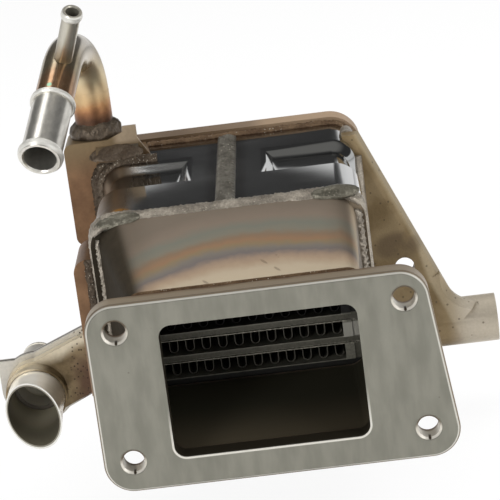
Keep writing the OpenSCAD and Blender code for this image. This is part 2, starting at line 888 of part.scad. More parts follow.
module tube_collar() {
    color([0.3, 0.29, 0.26])
        translate(goose_foot)
            rotate_extrude()
                polygon([[goose_r + slip, 0], [collar_r, 0], [collar_r - 0.3, collar_h * 0.4],
                    [goose_r + 0.9, collar_h], [goose_r + slip, collar_h]]);
}

// The outlet tube's bend, with one radius
module goose_bend(r) {
    translate(goose_top)
        rotate([0, 0, -90 - goose_swing])
            translate([goose_bend_r, 0, 0])
                rotate([90, 0, 0])
                    rotate([0, 0, 180 - goose_turn])
                        rotate_extrude(angle = goose_turn)
                            translate([goose_bend_r, 0])
                                circle(r);
}

// A straight piece of the outlet tube along +Z
module goose_straight(h) {
    difference() {
        cylinder(h = h, r = goose_r);
        translate([0, 0, -1])
            cylinder(h = h + 2, r = goose_r - goose_wall);
    }
}

module outlet_tube() {
    color([0.45, 0.38, 0.26])
        difference() {
            union() {
                translate(goose_foot - [0, 0, pan_wall])
                    goose_straight(pan_wall + goose_leg + bend_lap);
                difference() {
                    goose_bend(goose_r - bend_thin);
                    goose_bend(goose_r - goose_wall + bend_thin);
                }
                aimed(goose_bend_end - bend_lap * goose_dir, goose_dir)
                    goose_straight(goose_run + bend_lap);
            }
            aimed(nipple_base, nipple_dir)
                cylinder(h = 2 * goose_r, r = nipple_bore_r);
        }
}

module hose_end() {
    mid = hose_len - bead_w;
    color([0.65, 0.65, 0.62])
        aimed(goose_end, goose_dir)
            rotate_extrude()
                polygon([[hose_bore_r, 0], [bead_r - 0.6, 0], [bead_r, 0.6], [bead_r, stop_w - 0.6],
                    [bead_r - 0.6, stop_w], [hose_r, stop_w], [hose_r, mid], [bead_r - 0.5, mid + 0.8],
                    [bead_r, mid + 1.8], [bead_r - 0.2, hose_len - 1.2], [bead_r - 1.2, hose_len],
                    [hose_bore_r + 0.6, hose_len], [hose_bore_r, hose_len - 0.6]]);
}

module vent_nipple() {
    neck = nipple_len - nipple_bead_w;
    color([0.65, 0.65, 0.62])
        difference() {
            aimed(nipple_base, nipple_dir)
                rotate_extrude()
                    polygon([[nipple_bore_r, goose_r / 2], [nipple_r, goose_r / 2], [nipple_r, neck],
                        [nipple_bead_r - 0.2, neck + 0.8], [nipple_bead_r, neck + 1.6],
                        [nipple_bead_r - 0.2, nipple_len - 0.8], [nipple_bead_r - 0.7, nipple_len],
                        [nipple_bore_r + 0.4, nipple_len], [nipple_bore_r, nipple_len - 0.4]]);
            aimed(nipple_base - 2 * goose_r * goose_dir, goose_dir)
                cylinder(h = 4 * goose_r, r = goose_r);
        }
}

// The inlet pan's outline in the front view
module inlet_pan_outline(set) {
    left = inlet_left + set;
    bottom = set - inlet_pan_bottom;
    top = inlet_pan_top - set;
    r = inlet_pan_r - set;
    difference() {
        union() {
            translate([left + r, bottom])
                square([shell_left + shell_r - left - r, top - bottom]);
            translate([left, bottom])
                square([r + eps, top - bottom - r]);
            translate([left + r, top - r])
                circle(r);
        }
        shell_outline(set > 0 ? -eps : 0);
    }
}

module inlet_pan() {
    color([0.5, 0.36, 0.26])
        difference() {
            along_y(inlet_y0, inlet_y1)
                inlet_pan_outline(0);
            along_y(inlet_y0 + pan_wall, inlet_y1 - pan_wall)
                inlet_pan_outline(pan_wall);
            along_y(arm_seam - arm_front_d + arm_wall, arm_seam + arm_rear_d - arm_wall)
                translate([inlet_left - 1, arm_window_z])
                    square([pan_wall + 2, arm_window_h]);
        }
}

// The inlet arm's outline in the front view: a tapered duct with a round end
module arm_outline(set) {
    difference() {
        union() {
            polygon([[inlet_left + 1, arm_root_top - set], [-arm_x, arm_r - arm_drop - set],
                [-arm_x, set - arm_r - arm_drop], [inlet_left + 1, set - arm_root_bottom]]);
            translate([-arm_x, -arm_drop])
                circle(arm_r - set);
        }
        translate([inlet_left, -arm_drop - 2 * arm_r])
            square([10, 4 * arm_r]);
    }
}

// The seam flange round the arm, with a square corner at the upper left
module arm_flange_outline() {
    arm_outline(-arm_flange);
    translate([-arm_x - arm_r - arm_flange, -arm_drop])
        square([arm_r, arm_corner]);
}

module inlet_arm_front() {
    color([0.58, 0.54, 0.46])
        difference() {
            union() {
                along_y(arm_seam - arm_front_d, arm_seam)
                    arm_outline(0);
                along_y(arm_seam - arm_flange_t, arm_seam)
                    arm_flange_outline();
                aimed(stub_foot, stub_dir)
                    cylinder(h = stub_seat + stub_collar_h, r = stub_collar_r);
            }
            along_y(arm_seam - arm_front_d + arm_wall, arm_seam + 1)
                arm_outline(arm_wall);
            aimed(stub_foot - stub_len * stub_dir, stub_dir)
                cylinder(h = 3 * stub_len, r = stub_r + slip);
        }
}

module inlet_arm_rear() {
    color([0.6, 0.58, 0.52])
        difference() {
            union() {
                along_y(arm_seam, arm_seam + arm_rear_d)
                    arm_outline(arm_rear_set);
                along_y(arm_seam, arm_seam + arm_flange_t)
                    arm_flange_outline();
                translate([-arm_x, arm_seam + arm_flange_t, arm_hump_z])
                    rotate([-90, 0, 0])
                        cylinder(h = arm_rear_d - arm_flange_t, r = arm_hump_r);
            }
            along_y(arm_seam - 1, arm_seam + arm_rear_d - arm_wall)
                arm_outline(arm_rear_set + arm_wall);
        }
}

// The stub's round form along +Z with its flare, of one radius before the flare
module stub_form(r) {
    flare_start = stub_len - stub_flare_len;
    cylinder(h = flare_start + eps, r = r);
    translate([0, 0, flare_start])
        cylinder(h = 2.5 * stub_flare_len, r1 = r, r2 = r + 2.5 * stub_flare);
}

module inlet_stub() {
    color([0.65, 0.63, 0.58])
        aimed(stub_foot, stub_dir)
            difference() {
                stub_form(stub_r);
                stub_form(stub_r - stub_wall);
                translate([0, 0, stub_len])
                    rotate([0, 0, stub_cut_turn])
                        rotate([0, -stub_cut, 0])
                            translate([-2 * stub_r, -2 * stub_r, 0])
                                cube([4 * stub_r, 4 * stub_r, 3 * stub_r]);
            }
}

// The web's outline in the front view, with a fillet from its slope to the boss
module web_outline() {
    difference() {
        polygon([[shell_right - shell_r / 2, shell_bottom + web_low], [shell_right - shell_r / 2, web_top],
            [web_top_x, web_top],
            fillet_mid - web_fillet * slope_out, fillet_mid, [fillet_mid.x, boss_top],
            [fillet_mid.x - boss_r, -boss_drop], [boss_start, -boss_drop - boss_r / 2]]);
        translate(fillet_mid)
            circle(web_fillet);
        shell_outline(0);
    }
}

// A wedge that bevels the web's front edge beside its slope, by a depth and a width
module web_bevel(deep, wide) {
    translate([web_top_x, web_y0, web_top])
        rotate([0, -slope_angle, 0])
            translate([-20, 0, 0])
                rotate([90, 0, 90])
                    linear_extrude(slope_len + 16)
                        polygon([[-1, -wide - wide / deep], [-1, 2], [deep, 2], [deep, 0]]);
}

module mounting_bracket() {
    color([0.5, 0.46, 0.38])
        difference() {
            union() {
                difference() {
                    along_y(web_y0, web_y1)
                        web_outline();
                    web_bevel(web_edge, web_edge * 0.45);
                    web_bevel(web_edge * 0.45, web_edge);
                    translate([fillet_mid.x, web_y0 - eps, fillet_mid.y])
                        rotate([-90, 0, 0])
                            cylinder(h = web_edge, r1 = web_fillet + web_edge * 0.7, r2 = web_fillet);
                }
                translate([boss_start, boss_y, -boss_drop])
                    rotate([0, 90, 0])
                        cylinder(h = boss_end - boss_start, r = boss_r);
            }
            translate([boss_end - boss_bore_len, boss_y, -boss_drop])
                rotate([0, 90, 0])
                    cylinder(h = boss_bore_len + 1, d = boss_bore_d);
            translate([web_hole_x, web_y0 - 1, -web_hole_drop])
                rotate([-90, 0, 0])
                    cylinder(h = web_t + 2, d = web_hole_d);
        }
}

// The bracket's welds: an upright bead before the web and a short one behind it on the shell corner
module bracket_weld() {
    in = shell_r * (1 - sqrt(0.5));
    color([0.34, 0.32, 0.27])
        difference() {
            union() {
                translate([shell_right, web_y0, shell_bottom + web_low + bracket_weld_r])
                    cylinder(h = web_top - shell_bottom - 2 * web_low, r = bracket_weld_r);
                translate([shell_right - in, web_y1, shell_top - in])
                    rotate([-90, 0, 0])
                        cylinder(h = bracket_lump_len, r1 = bracket_lump_r, r2 = bracket_lump_r * 0.7);
            }
            along_y(web_y0 - 5, web_y1 + 2 * bracket_lump_len)
                shell_outline(0);
            translate([shell_right - shell_r, web_y0, shell_bottom])
                cube([3 * shell_r, web_t, shell_h]);
        }
}

inlet_flange();
inlet_diffuser();
flange_weld();
side_welds();
front_weld();
front_header();
rear_header();
shell();
seam_weld();
gas_tube_1();
gas_tube_2();
gas_tube_3();
gas_tube_4();
gas_tube_5();
gas_tube_6();
gas_tube_7();
gas_fin_1();
gas_fin_2();
gas_fin_3();
gas_fin_4();
gas_fin_5();
gas_fin_6();
gas_fin_7();
outlet_tank();
rear_weld();
outlet_ring();
outlet_pan();
tube_collar();
outlet_tube();
hose_end();
vent_nipple();
inlet_pan();
inlet_arm_front();
inlet_arm_rear();
inlet_stub();
mounting_bracket();
bracket_weld();
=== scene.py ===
"""Looks of a welded exhaust gas cooler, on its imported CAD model."""
import math

import bpy
import numpy as np
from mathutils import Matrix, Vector, noise


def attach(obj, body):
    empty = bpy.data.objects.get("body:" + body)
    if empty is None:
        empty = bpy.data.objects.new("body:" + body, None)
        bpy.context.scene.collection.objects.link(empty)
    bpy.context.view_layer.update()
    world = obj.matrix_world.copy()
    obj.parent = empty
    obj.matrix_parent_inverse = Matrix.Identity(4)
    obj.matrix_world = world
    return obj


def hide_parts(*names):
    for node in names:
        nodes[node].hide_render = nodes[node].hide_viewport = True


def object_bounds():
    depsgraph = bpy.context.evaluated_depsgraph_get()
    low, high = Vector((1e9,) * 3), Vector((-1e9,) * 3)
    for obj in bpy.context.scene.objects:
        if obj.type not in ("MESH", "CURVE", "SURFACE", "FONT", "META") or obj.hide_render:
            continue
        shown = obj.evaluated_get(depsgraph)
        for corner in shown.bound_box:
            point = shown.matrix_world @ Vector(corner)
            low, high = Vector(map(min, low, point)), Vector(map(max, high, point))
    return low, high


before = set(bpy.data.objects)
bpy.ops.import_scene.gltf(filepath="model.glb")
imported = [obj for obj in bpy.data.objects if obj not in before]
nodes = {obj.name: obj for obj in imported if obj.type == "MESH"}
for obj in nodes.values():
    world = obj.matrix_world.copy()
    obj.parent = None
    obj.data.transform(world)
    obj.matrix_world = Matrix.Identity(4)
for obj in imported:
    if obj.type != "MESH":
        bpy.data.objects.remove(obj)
cad_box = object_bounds()
MM = 0.001

# Flange: bolt holes as x and z, and the gas port, in millimetres in the part's frame like all that follow
BOLT_HOLES = ((-57, 27.8), (59, 27.8), (-57, -27.8), (63, -27.8))
HOLE_EDGE = 5.3
NICK_DROP = 4.8
PORT_SIZE = (79.6, 56.6)
PORT_ROUND = 5

# Diffuser: places of its walls at its front end, each with its change per millimetre rearwards
DUCT_FRONT = 13
ROOF = (38.3, 0.419)
FLOOR = (-33.98, 0.286)
LEFT_WALL = (-50.0, -0.308)
RIGHT_WALL = (42.4, 0.054)
LEFT_EDGE = (-45.2, -0.17)
DUCT_ROUND = (5, 0.134)
RIM_FRONT = 57.6
RIM_STEP = 3.4
TINT_MIDDLE = -2
TINT_FRONT = 12
TINT_LENGTH = 45
SCRATCHES = ((-19, 15), (5, 23), (11, 25), (10, 18))

# Shell, its seam, a gold spot on it as x and y, and the tank behind it
SHELL_MID = (-9.5, 17)
SHELL_SIZE = (115.4, 80)
SHELL_ROUND = 11
SHELL_FRONT = 62
SHELL_TOP = 57
SEAM_HALF = 4.6
SEAM_PITCH = 4.0
GOLD_SPOT = (-54, 71)
GOLD_HALF = (4, 6)
TANK_FRONT = 178

# Core: tops of the two tube rows in view, the upper row's middle and half height, its end, and the span
# between the black bands of painted shade
TUBE_TOPS = (0.2, -9.8)
UPPER_ROW = (-3.8, 3.2)
TUBE_END = 32.8
LIT_SPAN = (-17.0, 3.6)

# Outlet pan, bent tube, hose end and vent nipple
LEG_FOOT = (-68.3, 167.4, 67.5)
COLLAR_TOP = 75
LEG_LENGTH = 50
PLATE_FRONT = 155.2
FOOT_FRONT = 148.7
HOSE_FOOT = (-79.6, 113.3, 97.7)
HOSE_WAY = (-0.178, -0.851, -0.494)
HOSE_RING = 9.0
GREEN_MARK = (-79.9, 111.4, 106.2)
NIPPLE_FOOT = (-76.1, 129.9, 107.3)
NIPPLE_WAY = (0.301, -0.482, 0.823)
NIPPLE_RING = 4.2

# Inlet arm, with a point of its slanted crown in x and z, and stub, whose bore widens from a place along it
ARM_CROWN = (-103, -4)
ARM_SLOPE = 0.38
ARM_BACK = (90.5, 91.9)
STUB_FOOT = (-100.3, 75.0, -17.8)
STUB_WAY = (-0.0523, -0.9889, -0.1390)
STUB_BORE = 11.0
STUB_FLARE = (16.5, 0.075)

# Bracket: a point of its slanted edge in x and z, the way out from it, and a dark patch
BRACKET_EDGE = (50.4, 57)
BRACKET_OUT = (0.921, 0.389)
DARK_PATCH = (62, 2)
PATCH_HALF = (12, 8)

# Camera that took the photo, in millimetres and degrees, and the stage under the part
CAMERA_PLACE = (37.348, -940.092, 342.978)
CAMERA_TURN = (72.86, 7.215, 0)
CAMERA_LENS = 180
STAGE_DROP = 30
STAGE_HALF = 3000


class Field:
    """A shader value whose arithmetic adds Math nodes to its tree."""

    def __init__(self, tree, socket):
        self.tree = tree
        self.socket = socket

    def __add__(self, other):
        return self.tree.math("ADD", self, other)

    def __sub__(self, other):
        return self.tree.math("SUBTRACT", self, other)

    def __rsub__(self, other):
        return self.tree.math("SUBTRACT", other, self)

    def __mul__(self, other):
        return self.tree.math("MULTIPLY", self, other)

    def __truediv__(self, other):
        return self.tree.math("DIVIDE", self, other)

    def __rtruediv__(self, other):
        return self.tree.math("DIVIDE", other, self)

    def __pow__(self, other):
        return self.tree.math("POWER", self, other)

    def __abs__(self):
        return self.tree.math("ABSOLUTE", self)

    __radd__ = __add__
    __rmul__ = __mul__

    def least(self, other):
        return self.tree.math("MINIMUM", self, other)

    def most(self, other):
        return self.tree.math("MAXIMUM", self, other)

    def fraction(self):
        return self.tree.math("FRACT", self)

    def clamped(self):
        return self.least(1.0).most(0.0)

    def rise(self, low, high):
        """0 below low and 1 above high, with a smooth change."""
        return self.tree.add("ShaderNodeMapRange", {"interpolation_type": "SMOOTHSTEP"},
                             {"Value": self, "From Min": low, "From Max": high}, "Result")

    def fall(self, low, high):
        """1 below low and 0 above high, with a smooth change."""
        return 1 - self.rise(low, high)

    def band(self, centre, half, soft):
        """1 within half of centre, with soft sides."""
        return abs(self - centre).fall(half - soft, half + soft)


class Tree:
    """A node tree to which nodes are added by type, settings and inputs."""

    def __init__(self, tree):
        self.tree = tree
        tree.nodes.clear()

    def add(self, kind, settings=None, inputs=None, output=0):
        node = self.tree.nodes.new(kind)
        for key, value in (settings or {}).items():
            if key == "stops":
                ramp = node.color_ramp
                while len(ramp.elements) < len(value):
                    ramp.elements.new(0.5)
                for element, (place, colour) in zip(ramp.elements, value):
                    element.position = place
                    element.color = (*colour, 1.0)
            else:
                setattr(node, key, value)
        for key, value in (inputs or {}).items():
            socket = node.inputs[key]
            if isinstance(value, Field):
                self.tree.links.new(value.socket, socket)
            elif socket.type == "RGBA" and len(value) == 3:
                socket.default_value = (*value, 1.0)
            else:
                socket.default_value = value
        return Field(self, node.outputs[output]) if node.outputs else None

    def outputs(self, kind, names, inputs=None):
        """Several outputs of one new node."""
        node = self.add(kind, None, inputs).socket.node
        return [Field(self, node.outputs[name]) for name in names]

    def math(self, operation, *values):
        return self.add("ShaderNodeMath", {"operation": operation}, dict(enumerate(values)))

    def mix(self, low, high, share):
        """A colour between two colours."""
        return self.add("ShaderNodeMix", {"data_type": "RGBA", "clamp_factor": True},
                        {0: share, 6: low, 7: high}, 2)

    def shaded(self, colour, factor):
        """A colour made lighter or darker by a factor."""
        grey = self.add("ShaderNodeCombineColor", None, {0: factor, 1: factor, 2: factor})
        return self.add("ShaderNodeMix", {"data_type": "RGBA", "blend_type": "MULTIPLY"},
                        {0: 1.0, 6: colour, 7: grey}, 2)


class Finish(Tree):
    """A material with one Principled shader. Its point, x, y and z are in millimetres in the part's frame."""

    def __init__(self, name, **fixed):
        self.material = bpy.data.materials.new(name)
        self.material.use_nodes = True
        super().__init__(self.material.node_tree)
        place = self.add("ShaderNodeTexCoord", None, None, "Object")
        self.point = self.add("ShaderNodeVectorMath", {"operation": "SCALE"}, {0: place, "Scale": 1 / MM})
        self.x, self.y, self.z = self.outputs("ShaderNodeSeparateXYZ", "XYZ", {0: self.point})
        self.fixed = fixed

    def noise(self, size, detail, stretch=(1, 1, 1)):
        """Noise around 0.5 with a grain of one size."""
        point = self.add("ShaderNodeVectorMath", {"operation": "MULTIPLY"}, {0: self.point, 1: stretch})
        return self.add("ShaderNodeTexNoise", None,
                        {"Vector": point, "Scale": 1 / size, "Detail": detail, "Roughness": 0.5}, "Fac")

    def cells(self, size):
        """Distance to the nearest of scattered points, in units of the cell size."""
        return self.add("ShaderNodeTexVoronoi", None, {"Vector": self.point, "Scale": 1 / size}, "Distance")

    def ramp(self, value, stops):
        """The colour at a value from 0 to 1 on a run of colours."""
        return self.add("ShaderNodeValToRGB", {"stops": stops}, {0: value.clamped()})

    def axis(self, foot, way):
        """Distance along an axis from its foot, and distance away from the axis."""
        gaps = [place - start for place, start in zip((self.x, self.y, self.z), foot)]
        along = sum(gap * share for gap, share in zip(gaps, way))
        return along, (squared(*gaps) - along ** 2.0).most(0.0) ** 0.5

    def done(self, colour, rough, metal, height=None, depth=0.0):
        """The finished material. A height gives it a bump of one depth."""
        inputs = {"Base Color": colour, "Roughness": rough, "Metallic": metal, **self.fixed}
        if height is not None:
            inputs["Normal"] = self.add("ShaderNodeBump", None,
                                        {"Strength": 1.0, "Distance": depth * MM, "Height": height})
        shader = self.add("ShaderNodeBsdfPrincipled", None, inputs)
        self.add("ShaderNodeOutputMaterial", None, {"Surface": shader})
        return self.material


def linear(r, g, b):
    """A display colour from 0 to 255 as shader values."""
    return tuple(((c / 255 + 0.055) / 1.055) ** 2.4 if c > 10 else c / 255 / 12.92 for c in (r, g, b))


def squared(*sides):
    """Square of the diagonal over some sides."""
    return sum(side ** 2.0 for side in sides)


def length(*sides):
    """Length of the diagonal over some sides."""
    return squared(*sides) ** 0.5


def slanted(y, start, slope):
    """Place of a slanted wall of the diffuser at a station y."""
    return (y - DUCT_FRONT) * slope + start


def dress(material, *names):
    for name in names:
        mesh = nodes[name].data
        mesh.materials.clear()
        mesh.materials.append(material)


def flange_finish():
    """Ground plate with a painted highlight on its bevel, bolt holes with a painted highlight below and
    painted shade above, and a port wall in painted shade with a painted highlight on its lower edge.
    """
    f = Finish("ground_flange")
    streak = f.noise(1.2, 4.0, (1, 1, 0.05))
    smear = f.noise(6, 3.0, (1, 1, 0.3)).rise(0.3, 0.7)
    cloud = f.noise(24, 4.0)
    specks = f.cells(11).rise(0.02, 0.05)
    colour = f.mix(linear(106, 105, 95), linear(138, 136, 125), cloud * 0.4 + streak * 0.2 + smear * 0.4)
    colour = f.mix(linear(84, 80, 70), colour, specks * 0.5 + 0.5)

    # Painted highlight on the bevel, then the side and the browned back edge, by the depth behind the face
    colour = f.mix(colour, linear(212, 209, 200), f.y.rise(0.1, 0.4) * 0.8)
    colour = f.mix(colour, linear(120, 108, 92), f.y.rise(0.7, 1.0))
    colour = f.mix(colour, linear(150, 137, 118), f.y.rise(1.8, 2.4))
    colour = f.mix(colour, linear(112, 92, 72), f.y.rise(6.0, 9.0) * cloud.rise(0.3, 0.6))

    # Wall of the port in painted shade, and a painted highlight on its lower edge
    wide = (abs(f.x) - PORT_SIZE[0] / 2 + PORT_ROUND).most(0.0)
    high = (abs(f.z) - PORT_SIZE[1] / 2 + PORT_ROUND).most(0.0)
    outside = length(wide, high) - PORT_ROUND
    # Port wall darkened as painted shade
    wall = outside.fall(0.1, 0.3) * f.y.rise(0.3, 0.8)
    colour = f.mix(colour, linear(64, 58, 46), wall)
    # Painted highlight on the lower edge of the port
    edge_highlight = outside.fall(0.6, 1.0) * (1 - wall) * f.z.fall(-26, -4)
    colour = f.mix(colour, linear(214, 211, 201), edge_highlight * 0.9)

    # Bolt holes with a painted highlight below and painted shade above, each with a dark nick at the bottom
    for x, z in BOLT_HOLES:
        across = f.x - x
        up = f.z - z
        hole = length(across, up).fall(HOLE_EDGE - 0.2, HOLE_EDGE + 0.2) * f.y.fall(6, 9)
        colour = f.mix(colour, f.mix(linear(226, 221, 210), linear(112, 100, 84), up.rise(-1, 2.5)), hole)
        nick = length(across, up + NICK_DROP).fall(0.4, 0.8) * f.y.fall(2, 5)
        colour = f.mix(colour, linear(62, 52, 40), nick)
    return f.done(colour, streak * 0.12 + 0.4, 0.6, streak * 0.6 + cloud * 0.4, 0.03)


def duct_finish():
    """Satin sheet with rings of heat tint on the roof, a left side in painted shade with some soot, painted
    light and shade on the right flank, and an inside with soot and painted shade.
    """
    f = Finish("tinted_duct", **{"Specular IOR Level": 0.06})
    roll = f.noise(2.0, 3.0, (0.05, 1, 1))
    cloud = f.noise(14, 3.0)
    fine = f.noise(3.0, 4.0)

    # Rings of tint that sag to both sides, more to the left
    away = f.x - TINT_MIDDLE
    sag = away ** 2.0 * (0.0060 - away.rise(0, 12) * 0.0032)
    run = f.y + sag + (cloud - 0.5) * 5.0 + (fine - 0.5) * 2.4
    colour = f.ramp((run - TINT_FRONT) / TINT_LENGTH, [
        (0.00, linear(172, 159, 137)), (0.17, linear(166, 152, 131)), (0.26, linear(150, 131, 110)),
        (0.32, linear(136, 118, 102)), (0.38, linear(104, 97, 94)), (0.43, linear(110, 104, 96)),
        (0.49, linear(122, 107, 84)), (0.54, linear(130, 103, 80)), (0.60, linear(119, 100, 82)),
        (0.67, linear(112, 108, 96)), (0.74, linear(106, 106, 96)), (0.84, linear(116, 104, 92)),
        (1.00, linear(106, 96, 85))])

    # Left side in painted shade with some soot, right flank with a painted highlight on its top and painted
    # shade lower down, painted shade on the roof beside the left side, and the roof darker beside the right
    # flank
    deep = slanted(f.y, *ROOF) - f.z
    side = (slanted(f.y, *LEFT_EDGE) - f.x).rise(-3.0, 3.5)
    flank = deep.rise(1.5, 5.0) * f.x.rise(0, 10)
    colour = f.mix(colour, f.mix(linear(38, 34, 27), linear(56, 49, 39), fine), side)
    colour = f.mix(colour, linear(150, 135, 113), flank * 0.6)
    colour = f.mix(colour, linear(88, 78, 65), flank * deep.rise(5, 9))
    # Painted shade on the roof towards the left side
    colour = f.mix(colour, linear(84, 75, 64), f.x.fall(-58, -36) * (1 - side) * 0.75)
    darker_right = f.x.rise(28, 40) * f.y.rise(18, 26) * (1 - flank)
    colour = f.mix(colour, linear(92, 82, 70), darker_right * 0.4)
    for x, y in SCRATCHES:
        across = f.x - x
        scratch = squared(across / 1.6, (f.y - y + across * 0.9) / 0.9)
        colour = f.mix(colour, linear(96, 84, 70), scratch.fall(0.3, 1.2) * fine.rise(0.4, 0.55) * 0.5)

    # Front band of the outlet tank, which shares this finish
    brown = f.mix(linear(122, 102, 80), linear(94, 76, 58), cloud)
    band = f.mix(brown, linear(156, 135, 112), f.x.rise(-40, 40) * 0.6)
    colour = f.mix(colour, band, f.y.rise(TANK_FRONT - 8, TANK_FRONT))

    # Inside of the diffuser, the points within its round-cornered section, sooty and darker deeper in as
    # painted shade
    corner = slanted(f.y, *DUCT_ROUND)
    upright = deep.least(f.z - slanted(f.y, *FLOOR))
    sideways = (f.x - slanted(f.y, *LEFT_WALL)).least(slanted(f.y, *RIGHT_WALL) - f.x)
    inward = corner - length((corner - upright).most(0.0), (corner - sideways).most(0.0))
    inner = inward.rise(0.7, 1.3) * f.y.fall(100, 110)
    colour = f.mix(colour, f.mix(linear(72, 65, 52), linear(46, 44, 35), f.y.rise(14, 44)), inner)
    dull = side.most(inner)
    return f.done(colour, roll * 0.14 + 0.34 + dull * 0.3, 0.42 - dull.most(flank) * 0.4, roll, 0.02)


def shell_finish():
    """Polished sheet, browned near the welds, with a gold spot and a bright corner at the left."""
    f = Finish("polished_shell")
    cloud = f.noise(10, 3.0)
    wave = f.noise(26, 1.0)
    corner = f.x.fall(-66, -63) * f.y.fall(76, 88)
    left = (f.x + (cloud - 0.5) * 10).fall(-60, -43)
    stain_and_shadow = left * (cloud * 0.5 + 0.6).clamped() * (1 - corner)
    colour = f.mix(linear(166, 167, 166), f.mix(linear(92, 74, 56), linear(136, 114, 88), cloud), stain_and_shadow)
    front = abs(f.y - SHELL_FRONT - 2).fall(3, 9) * (1 - corner)
    colour = f.mix(colour, linear(104, 84, 62), front * 0.7)
    gold = squared((f.x - GOLD_SPOT[0]) / GOLD_HALF[0], (f.y - GOLD_SPOT[1]) / GOLD_HALF[1])
    colour = f.mix(colour, linear(226, 172, 62), gold.fall(0.2, 1.4) * 0.9)
    seam = abs(f.x - SHELL_MID[0]).fall(5, 11)
    colour = f.mix(colour, linear(84, 74, 64), seam * 0.6)
    colour = f.mix(colour, linear(104, 78, 56), f.y.rise(TANK_FRONT - 12, TANK_FRONT - 2) * 0.7)
    return f.done(colour, cloud * 0.05 + 0.06 + stain_and_shadow * 0.36, 1.0, wave, 0.05)


def weld_finish(name, dark, pale, rough=0.4, glint_share=0.8, pitch=0.0):
    """Rough weld metal with painted glints in patches. A pitch adds painted shade in the creases of the seam
    weld.
    """
    f = Finish(name)
    cloud = f.noise(7, 3.0)
    grain = f.noise(0.8, 3.0)
    patch = f.noise(12, 2.0).rise(0.42, 0.58)
    glints = f.cells(1.3).fall(0.12, 0.26) * patch * glint_share
    colour = f.mix(dark, pale, cloud.rise(0.3, 0.7) * 0.6 + grain * 0.4)
    if pitch:
        phase = f.y / pitch + ((f.x - SHELL_MID[0]) / SEAM_HALF) ** 2.0 * 0.7
        crease_shade = abs(phase.fraction() - 0.5).rise(0.3, 0.5)
        # Painted shade in the creases between the scales
        colour = f.shaded(colour, 1 - crease_shade * 0.7)
    # Painted glints in patches
    colour = f.mix(f.shaded(colour, grain * 0.8 + 0.6), linear(196, 188, 172), glints)
    return f.done(colour, rough + grain * 0.2 - glints * 0.2, 0.7, grain + glints * 0.5, 0.25)


def core_finish(name, dark, pale):
    """Brazed steel, sooty, with a painted highlight along two tube tops, paler at a tube's end, and black as
    painted shade above and below.
    """
    f = Finish(name)
    cloud = f.noise(4, 3.0)
    fine = f.noise(0.8, 2.0)
    colour = f.shaded(f.mix(dark, pale, cloud), fine * 0.8 + 0.6)
    # Painted highlight along the two tube tops
    top_highlight = sum(f.z.band(top, 0.5, 0.3) for top in TUBE_TOPS)
    colour = f.mix(colour, linear(160, 156, 142), top_highlight * fine.rise(0.4, 0.6) * 0.7)
    paler_end = f.x.rise(TUBE_END - 0.4, TUBE_END + 0.4) * f.z.band(*UPPER_ROW, 0.4)
    colour = f.mix(colour, linear(190, 187, 176), paler_end * 0.8)
    # Black above and below the lit span, painted shade
    low, high = LIT_SPAN
    lit_rows = f.z.rise(low - 0.4, low + 0.4) * f.z.fall(high - 0.3, high + 0.4)
    colour = f.mix(linear(24, 23, 19), colour, lit_rows)
    return f.done(colour, cloud * 0.2 + 0.4, 0.5, fine, 0.06)


def pan_finish():
    """Pressed sheet, browned by heat, with a tan tab and a grey gusset on the outlet pan."""
    f = Finish("browned_pan")
    cloud = f.noise(11, 4.0)
    fine = f.noise(1.4, 3.0)
    colour = f.mix(linear(110, 82, 59), linear(136, 104, 76), cloud.rise(0.3, 0.7))
    top = f.z.rise(48, 68) * f.y.rise(140, 150)
    colour = f.mix(colour, linear(124, 107, 80), top * 0.9)
    tab = f.x.rise(-61, -57) * f.z.rise(64, 67)
    colour = f.mix(colour, linear(182, 163, 138), tab * 0.9)
    ahead = f.y.fall(PLATE_FRONT - 0.6, PLATE_FRONT - 0.1) * f.y.rise(140, 146)
    gusset = ahead * f.z.rise(58, 60)
    grey = f.mix(linear(76, 68, 58), linear(108, 98, 84), fine)
    colour = f.mix(colour, grey, gusset * (f.x + cloud * 6).rise(-68, -60))
    colour = f.mix(colour, linear(92, 72, 56), (ahead - gusset).clamped() * 0.8)
    colour = f.mix(colour, linear(158, 130, 108), f.z.fall(-14, 14) * 0.7)
    return f.done(f.shaded(colour, fine * 0.3 + 0.85), fine * 0.2 + 0.34, 0.65, fine, 0.05)


def tube_finish():
    """Bent tube, brown to gold up its leg, olive in its bend, burnt at its end by a small green mark."""
    f = Finish("tinted_tube")
    cloud = f.noise(9, 3.0)
    fine = f.noise(2.2, 4.0)
    run = f.z + (cloud - 0.5) * 7.0 + (fine - 0.5) * 3.0
    colour = f.ramp((run - COLLAR_TOP) / LEG_LENGTH, [
        (0.00, linear(84, 60, 46)), (0.09, linear(142, 100, 70)), (0.15, linear(182, 136, 94)),
        (0.22, linear(198, 168, 126)), (0.40, linear(208, 192, 158)), (0.60, linear(176, 164, 142)),
        (0.80, linear(168, 162, 152)), (1.00, linear(172, 167, 158))])
    bend = f.y.fall(128, 142)
    colour = f.mix(colour, f.mix(linear(104, 90, 68), linear(150, 138, 112), fine), bend * 0.8)
    burnt = (f.y + (cloud - 0.5) * 8).fall(116, 124)
    colour = f.mix(colour, f.mix(linear(128, 86, 56), linear(172, 138, 108), fine), burnt * 0.8)
    mark = squared(*f.axis(GREEN_MARK, HOSE_WAY)).fall(0.6, 2.0)
    colour = f.mix(colour, linear(112, 168, 138), mark * 0.8)
    leg = f.y.rise(148, 158)
    return f.done(colour, cloud * 0.06 + 0.15 + leg * 0.22, 0.85 - mark * 0.6)


